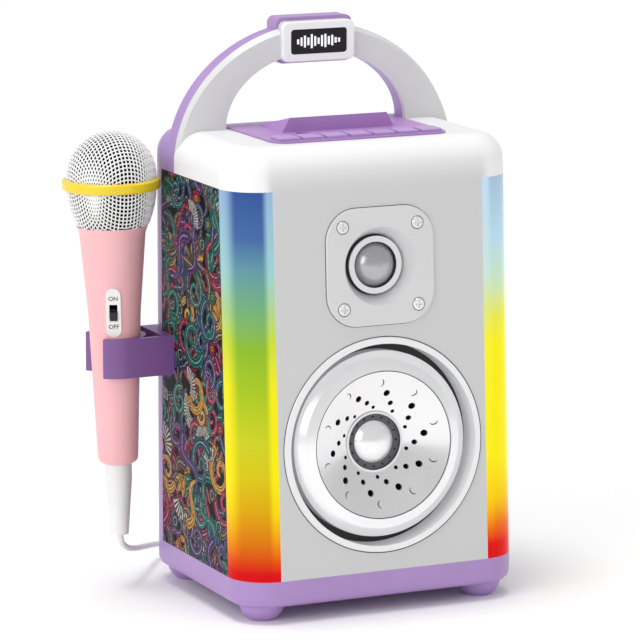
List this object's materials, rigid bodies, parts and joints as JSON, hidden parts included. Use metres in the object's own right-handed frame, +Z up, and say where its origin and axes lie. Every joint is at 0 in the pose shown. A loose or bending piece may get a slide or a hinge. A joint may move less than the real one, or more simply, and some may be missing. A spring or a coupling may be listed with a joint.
{
  "type": "portable karaoke speaker",
  "caption": "Portable karaoke speaker with a woofer and tweeter, light columns, arched carrying handle, press keys, a phone rest and a wired microphone in a side clip.",
  "frame": {"origin": "centre of the base tray's flat underside, with the feet standing 8 mm below it", "axes": "+Z up, +X to the right seen from the front, +Y to the back"},
  "size_m": [0.2071, 0.2337, 0.2917],
  "materials": {
    "white_plastic": "smooth satin white moulding",
    "grey_plastic": "pale grey moulding",
    "lilac_plastic": "lilac moulding",
    "key_plastic": "lilac keys a shade lighter than the console",
    "violet_plastic": "deep violet moulding",
    "light_pipe": "translucent diffuser lit in a rainbow from blue to red",
    "printed_panel": "black panel printed with bright scrollwork",
    "silver_chrome": "bright silver plating",
    "silver_plastic": "silver grey paint on plastic",
    "black_plastic": "black moulding",
    "magnet": "dark sintered ferrite",
    "screw_steel": "zinc plated steel",
    "circuit_board": "green circuit board",
    "battery_wrap": "blue shrink wrap",
    "clamp_plastic": "dark grey moulding",
    "mic_pink": "soft pink moulding",
    "mic_mesh": "white wire mesh",
    "mic_yellow": "bright yellow band",
    "foam": "open black foam",
    "soft_white": "soft white sleeve",
    "tie_plastic": "thin black strap"
  },
  "bodies": {
    "cabinet": {"front_housing": "white_plastic", "badge_bezel": "white_plastic", "handle_front": "grey_plastic", "tweeter_plate": "grey_plastic", "rear_housing": "lilac_plastic", "base_tray": "lilac_plastic", "feet": "lilac_plastic", "console_panel": "lilac_plastic", "mic_clip": "violet_plastic", "light_pipe_left": "light_pipe", "light_pipe_right": "light_pipe", "side_panel_left": "printed_panel", "side_panel_right": "printed_panel", "woofer_cone": "silver_chrome", "woofer_hub_dome": "silver_chrome", "woofer_hub_ring": "silver_chrome", "woofer_trim": "silver_chrome", "tweeter_ring": "silver_chrome", "woofer_surround": "silver_plastic", "tweeter_dome": "silver_plastic", "woofer_basket": "black_plastic", "woofer_hub_seat": "black_plastic", "mic_plug": "black_plastic", "badge_display": "black_plastic", "mic_socket": "black_plastic", "aux_socket": "black_plastic", "status_lens": "black_plastic", "woofer_magnet": "magnet", "tweeter_magnet": "magnet", "base_screws": "screw_steel", "housing_screws": "screw_steel", "inner_screws": "screw_steel", "tweeter_screws": "screw_steel", "charge_port": "screw_steel", "key_board": "circuit_board", "main_board": "circuit_board", "led_strip_left": "circuit_board", "led_strip_right": "circuit_board", "battery_pack": "battery_wrap", "battery_clamp": "clamp_plastic", "mic_cord_lead": "soft_white", "mic_cord_coil": "soft_white", "mic_cord_tail": "soft_white", "cord_tie": "tie_plastic"},
    "microphone": {"mic_body": "mic_pink", "mic_grille": "mic_mesh", "mic_band": "mic_yellow", "mic_foam": "foam", "mic_capsule": "black_plastic", "mic_switch_plate": "black_plastic", "mic_strain_relief": "soft_white"},
    "mic_switch": {"mic_switch_slider": "black_plastic"},
    "power_slider": {"power_switch": "black_plastic"},
    "key_1_cap": {"key_1": "key_plastic"},
    "key_2_cap": {"key_2": "key_plastic"},
    "key_3_cap": {"key_3": "key_plastic"},
    "key_4_cap": {"key_4": "key_plastic"},
    "key_5_cap": {"key_5": "key_plastic"},
    "key_6_cap": {"key_6": "key_plastic"},
    "key_7_cap": {"key_7": "key_plastic"}
  },
  "joints": [
    {"name": "key_1_press", "type": "slide", "parent": "cabinet", "child": "key_1_cap", "axis": [0, 0, -1], "range_m": [0, 0.001], "stiffness_N_per_m": 600},
    {"name": "key_2_press", "type": "slide", "parent": "cabinet", "child": "key_2_cap", "axis": [0, 0, -1], "range_m": [0, 0.001], "stiffness_N_per_m": 600},
    {"name": "key_3_press", "type": "slide", "parent": "cabinet", "child": "key_3_cap", "axis": [0, 0, -1], "range_m": [0, 0.001], "stiffness_N_per_m": 600},
    {"name": "key_4_press", "type": "slide", "parent": "cabinet", "child": "key_4_cap", "axis": [0, 0, -1], "range_m": [0, 0.001], "stiffness_N_per_m": 600},
    {"name": "key_5_press", "type": "slide", "parent": "cabinet", "child": "key_5_cap", "axis": [0, 0, -1], "range_m": [0, 0.001], "stiffness_N_per_m": 600},
    {"name": "key_6_press", "type": "slide", "parent": "cabinet", "child": "key_6_cap", "axis": [0, 0, -1], "range_m": [0, 0.001], "stiffness_N_per_m": 600},
    {"name": "key_7_press", "type": "slide", "parent": "cabinet", "child": "key_7_cap", "axis": [0, 0, -1], "range_m": [0, 0.001], "stiffness_N_per_m": 600},
    {"name": "power_slide", "type": "slide", "parent": "cabinet", "child": "power_slider", "axis": [1, 0, 0], "range_m": [0, 0.005]},
    {"name": "microphone_lift", "type": "slide", "parent": "cabinet", "child": "microphone", "axis": [-0.0164, 0.0073, 0.9998], "range_m": [0, 0.11]},
    {"name": "mic_switch_slide", "type": "slide", "parent": "microphone", "child": "mic_switch", "axis": [-0.0501, -0.0686, 0.9964], "range_m": [0, 0.0034]}
  ]
}
